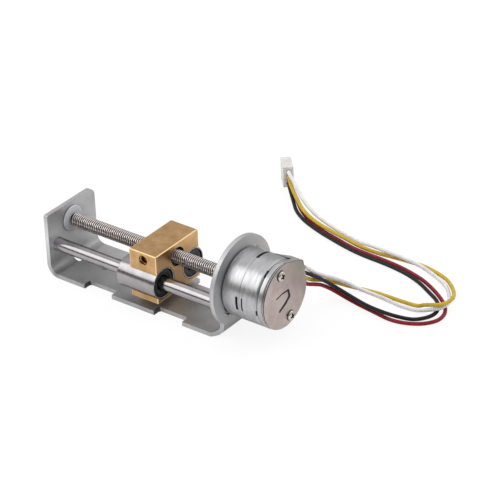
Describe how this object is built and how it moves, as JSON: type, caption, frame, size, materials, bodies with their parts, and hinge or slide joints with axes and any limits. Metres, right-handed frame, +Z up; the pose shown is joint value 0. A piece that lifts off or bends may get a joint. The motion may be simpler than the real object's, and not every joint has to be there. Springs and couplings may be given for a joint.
{
  "type": "stepper motor linear slide",
  "caption": "Small linear slide: a bent steel bracket with guide rods and a motor-driven lead screw moving a brass slider block on linear bearings.",
  "frame": {"origin": "centre of the bracket base's underside", "axes": "+X along the slide towards the motor, +Y towards the side where the leads come out, +Z up"},
  "size_m": [0.081, 0.0666, 0.0208],
  "materials": {
    "zinc_plated_steel": "satin zinc plate",
    "polished_steel": "ground and polished",
    "screw_steel": "rolled thread, lightly oiled",
    "brass": "machined, slightly tarnished",
    "sintered_bronze": "porous, matte",
    "motor_can": "drawn, satin",
    "nickel_plate": "satin",
    "copper_wire": "enamelled",
    "ferrite": "matte",
    "black_rubber": "matte",
    "dark_plastic": "matte",
    "cage_plastic": "matte",
    "bobbin_plastic": "matte",
    "terminal_plastic": "matte",
    "housing_plastic": "semi-gloss, milky",
    "tinned_pin": "tinned",
    "contact_brass": "bright",
    "wire_white_sheath": "soft sheen",
    "wire_black_sheath": "soft sheen",
    "wire_yellow_sheath": "soft sheen",
    "wire_red_sheath": "soft sheen"
  },
  "bodies": {
    "frame": {"bracket": "zinc_plated_steel", "guide_rod_near": "polished_steel", "guide_rod_far": "polished_steel", "end_bush": "zinc_plated_steel", "motor_front_cup": "motor_can", "motor_rear_cup": "motor_can", "front_bush": "sintered_bronze", "rear_bush": "sintered_bronze", "front_outer_pole": "zinc_plated_steel", "front_inner_pole": "zinc_plated_steel", "rear_inner_pole": "zinc_plated_steel", "rear_outer_pole": "zinc_plated_steel", "front_bobbin": "bobbin_plastic", "rear_bobbin": "bobbin_plastic", "front_winding": "copper_wire", "rear_winding": "copper_wire", "rear_end_ring": "motor_can", "rear_cover": "nickel_plate", "cover_screw_upper": "polished_steel", "cover_screw_lower": "polished_steel", "terminal_block": "terminal_plastic", "terminal_pin_1": "tinned_pin", "terminal_pin_2": "tinned_pin", "terminal_pin_3": "tinned_pin", "terminal_pin_4": "tinned_pin", "wire_white": "wire_white_sheath", "wire_black": "wire_black_sheath", "wire_yellow": "wire_yellow_sheath", "wire_red": "wire_red_sheath", "connector_housing": "housing_plastic", "connector_contact_1": "contact_brass", "connector_contact_2": "contact_brass", "connector_contact_3": "contact_brass", "connector_contact_4": "contact_brass"},
    "screw": {"lead_screw": "screw_steel", "rotor_hub": "dark_plastic", "rotor_magnet": "ferrite"},
    "carriage": {"near_bearing_shell": "polished_steel", "near_ball_cage": "cage_plastic", "near_seal_left": "black_rubber", "near_seal_right": "black_rubber", "far_bearing_shell": "polished_steel", "far_ball_cage": "cage_plastic", "far_seal_left": "black_rubber", "far_seal_right": "black_rubber", "slider_block": "brass"}
  },
  "joints": [
    {"name": "screw_spin", "type": "hinge", "parent": "frame", "child": "screw", "pos_m": [0, 0, 0.0108], "axis": [1, 0, 0], "range_deg": [-13320.5, 10800.5]},
    {"name": "carriage_slide", "type": "slide", "parent": "frame", "child": "carriage", "axis": [1, 0, 0], "range_m": [-0.0185, 0.015]}
  ],
  "couplings": [
    {"joint": "screw_spin", "follows": "carriage_slide", "rad_per_m": 12566}
  ]
}
